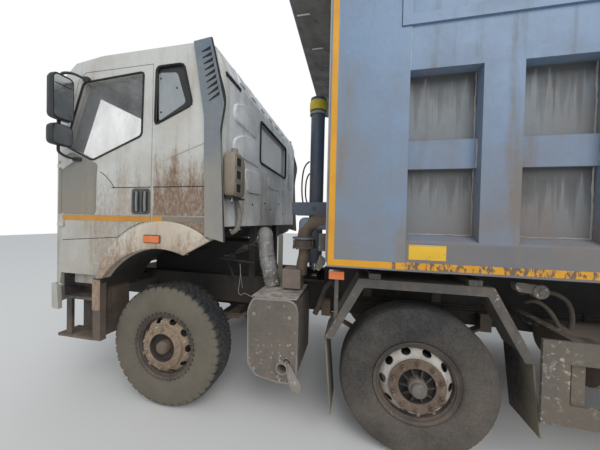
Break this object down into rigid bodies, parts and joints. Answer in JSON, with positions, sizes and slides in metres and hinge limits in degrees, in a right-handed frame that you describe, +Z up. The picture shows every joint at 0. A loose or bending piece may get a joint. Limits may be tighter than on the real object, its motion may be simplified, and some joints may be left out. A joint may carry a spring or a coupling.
{
  "type": "dump truck",
  "caption": "Rigid dump truck with tilting cab, front telescopic hoist, ribbed steel tipping bed with extension boards, and steered front axles.",
  "frame": {"origin": "on the ground, at the middle of the length and of the width", "axes": "+X forward, +Y to the truck's left, +Z up"},
  "size_m": [10.1, 3, 3.56],
  "materials": {
    "frame_paint": "worn black frame paint, dusty",
    "axle_metal": "dusty cast iron",
    "spring_steel": "dusty dark steel",
    "tyre_rubber": "worn grey-black rubber",
    "wheel_rust": "rusty painted disc",
    "wheel_pale": "chalky white disc with dirt",
    "hoist_cover": "dark navy paint",
    "hoist_chrome": "polished stages",
    "bed_paint": "blue-grey paint, scraped and dusty",
    "cab_paint": "dirty off-white paint with mud streaks",
    "deflector_paint": "blue-grey paint",
    "flare_plastic": "worn moulded plastic",
    "glass": "tinted window glass",
    "mirror_plastic": "black mirror housings",
    "inside_plastic": "dark cab trim",
    "can_plastic": "translucent plastic can",
    "bumper_paint": "off-white bumper",
    "lamp_lens": "lamp lenses",
    "step_metal": "black step irons",
    "fender_paint": "taupe-brown chipped paint",
    "silencer_metal": "taupe-brown heat-worn paint",
    "pipe_metal": "heat-browned pipe",
    "flap_rubber": "black rubber sheet",
    "guard_paint": "whitish dirty guard",
    "tank_paint": "grey tank paint",
    "engine_iron": "oily cast iron"
  },
  "bodies": {
    "chassis": {"frame_rails": "frame_paint", "subframe": "frame_paint", "steer_axles": "axle_metal", "drive_axles": "axle_metal", "leaf_springs": "spring_steel", "drivetrain": "engine_iron", "bumper": "bumper_paint", "lamps": "lamp_lens", "cab_steps": "step_metal", "silencer": "silencer_metal", "exhaust_pipes": "pipe_metal", "fenders": "fender_paint", "mud_flaps": "flap_rubber", "side_guards": "guard_paint", "tanks": "tank_paint"},
    "bed": {"bed_floor": "bed_paint", "bed_front_wall": "bed_paint", "bed_sides": "bed_paint", "extension_boards": "bed_paint", "canopy": "bed_paint"},
    "tailgate": {"tailgate": "bed_paint"},
    "hoist_cover": {"hoist_cover": "hoist_cover"},
    "hoist_stage_1": {"hoist_stage_1": "hoist_chrome"},
    "hoist_stage_2": {"hoist_stage_2": "hoist_chrome"},
    "hoist_rod": {"hoist_rod": "hoist_chrome"},
    "cab": {"cab_body": "cab_paint", "cab_glass": "glass", "deflectors": "deflector_paint", "arch_flares": "flare_plastic", "cab_interior": "inside_plastic", "jerrycan": "can_plastic"},
    "front_lid": {"front_lid": "cab_paint"},
    "knuckle_1_left": {"knuckle_1_left": "axle_metal"},
    "wheel_1_left": {"wheel_1_left": "wheel_rust", "tyre_1_left": "tyre_rubber"},
    "knuckle_2_left": {"knuckle_2_left": "axle_metal"},
    "wheel_2_left": {"wheel_2_left": "wheel_pale", "tyre_2_left": "tyre_rubber"},
    "wheels_3_left": {"wheels_3_left": "wheel_pale", "tyres_3_left": "tyre_rubber"},
    "wheels_4_left": {"wheels_4_left": "wheel_pale", "tyres_4_left": "tyre_rubber"},
    "door_left": {"door_left": "cab_paint", "door_glass_left": "glass", "mirror_left": "mirror_plastic"},
    "knuckle_1_right": {"knuckle_1_right": "axle_metal"},
    "wheel_1_right": {"wheel_1_right": "wheel_rust", "tyre_1_right": "tyre_rubber"},
    "knuckle_2_right": {"knuckle_2_right": "axle_metal"},
    "wheel_2_right": {"wheel_2_right": "wheel_pale", "tyre_2_right": "tyre_rubber"},
    "wheels_3_right": {"wheels_3_right": "wheel_pale", "tyres_3_right": "tyre_rubber"},
    "wheels_4_right": {"wheels_4_right": "wheel_pale", "tyres_4_right": "tyre_rubber"},
    "door_right": {"door_right": "cab_paint", "door_glass_right": "glass", "mirror_right": "mirror_plastic"}
  },
  "joints": [
    {"name": "steer_1_left", "type": "hinge", "parent": "chassis", "child": "knuckle_1_left", "pos_m": [3.6, 0.85, 0.548], "axis": [0, 0, 1], "range_deg": [-35, 35]},
    {"name": "spin_1_left", "type": "hinge", "parent": "knuckle_1_left", "child": "wheel_1_left", "pos_m": [3.6, 1.01, 0.548], "axis": [0, 1, 0], "continuous": true},
    {"name": "steer_2_left", "type": "hinge", "parent": "chassis", "child": "knuckle_2_left", "pos_m": [1.5, 0.85, 0.548], "axis": [0, 0, 1], "range_deg": [-24.2, 24.2]},
    {"name": "spin_2_left", "type": "hinge", "parent": "knuckle_2_left", "child": "wheel_2_left", "pos_m": [1.5, 1.01, 0.548], "axis": [0, 1, 0], "continuous": true},
    {"name": "spin_3_left", "type": "hinge", "parent": "chassis", "child": "wheels_3_left", "pos_m": [-1.55, 0.93, 0.548], "axis": [0, 1, 0], "continuous": true},
    {"name": "spin_4_left", "type": "hinge", "parent": "chassis", "child": "wheels_4_left", "pos_m": [-2.9, 0.93, 0.548], "axis": [0, 1, 0], "continuous": true},
    {"name": "door_left_open", "type": "hinge", "parent": "cab", "child": "door_left", "pos_m": [4.61, 1.245, 2], "axis": [0, 0, -1], "range_deg": [0, 70]},
    {"name": "steer_1_right", "type": "hinge", "parent": "chassis", "child": "knuckle_1_right", "pos_m": [3.6, -0.85, 0.548], "axis": [0, 0, 1], "range_deg": [-35, 35]},
    {"name": "spin_1_right", "type": "hinge", "parent": "knuckle_1_right", "child": "wheel_1_right", "pos_m": [3.6, -1.01, 0.548], "axis": [0, 1, 0], "continuous": true},
    {"name": "steer_2_right", "type": "hinge", "parent": "chassis", "child": "knuckle_2_right", "pos_m": [1.5, -0.85, 0.548], "axis": [0, 0, 1], "range_deg": [-24.2, 24.2]},
    {"name": "spin_2_right", "type": "hinge", "parent": "knuckle_2_right", "child": "wheel_2_right", "pos_m": [1.5, -1.01, 0.548], "axis": [0, 1, 0], "continuous": true},
    {"name": "spin_3_right", "type": "hinge", "parent": "chassis", "child": "wheels_3_right", "pos_m": [-1.55, -0.93, 0.548], "axis": [0, 1, 0], "continuous": true},
    {"name": "spin_4_right", "type": "hinge", "parent": "chassis", "child": "wheels_4_right", "pos_m": [-2.9, -0.93, 0.548], "axis": [0, 1, 0], "continuous": true},
    {"name": "door_right_open", "type": "hinge", "parent": "cab", "child": "door_right", "pos_m": [4.61, -1.245, 2], "axis": [0, 0, 1], "range_deg": [0, 70]},
    {"name": "bed_tip", "type": "hinge", "parent": "chassis", "child": "bed", "pos_m": [-4.25, 0, 1.18], "axis": [0, -1, 0], "range_deg": [0, 48]},
    {"name": "tailgate_swing", "type": "hinge", "parent": "bed", "child": "tailgate", "pos_m": [-5.005, 0, 2.902], "axis": [0, 1, 0], "range_deg": [0, 55]},
    {"name": "hoist_swing", "type": "hinge", "parent": "bed", "child": "hoist_cover", "pos_m": [2.42, 0, 1.85], "axis": [0, 1, 0], "range_deg": [0, 22.2]},
    {"name": "hoist_extend_1", "type": "slide", "parent": "hoist_cover", "child": "hoist_stage_1", "axis": [0, 0, -1], "range_m": [0, 1.787]},
    {"name": "hoist_extend_2", "type": "slide", "parent": "hoist_stage_1", "child": "hoist_stage_2", "axis": [0, 0, -1], "range_m": [0, 1.787]},
    {"name": "hoist_extend_3", "type": "slide", "parent": "hoist_stage_2", "child": "hoist_rod", "axis": [0, 0, -1], "range_m": [0, 1.787]},
    {"name": "cab_tilt", "type": "hinge", "parent": "chassis", "child": "cab", "pos_m": [4.88, 0, 1.01], "axis": [0, 1, 0], "range_deg": [0, 48]},
    {"name": "front_lid_open", "type": "hinge", "parent": "cab", "child": "front_lid", "pos_m": [4.972, 0, 2.074], "axis": [0, -1, 0], "range_deg": [0, 70]}
  ],
  "couplings": [
    {"joint": "steer_2_left", "follows": "steer_1_left", "ratio": 0.69},
    {"joint": "steer_1_right", "follows": "steer_1_left", "ratio": 1},
    {"joint": "steer_2_right", "follows": "steer_1_left", "ratio": 0.69},
    {"joint": "hoist_swing", "follows": "bed_tip", "ratio": 0.46167},
    {"joint": "hoist_extend_1", "follows": "bed_tip", "m_per_rad": 2.1309},
    {"joint": "hoist_extend_2", "follows": "bed_tip", "m_per_rad": 2.1309},
    {"joint": "hoist_extend_3", "follows": "bed_tip", "m_per_rad": 2.1309}
  ]
}
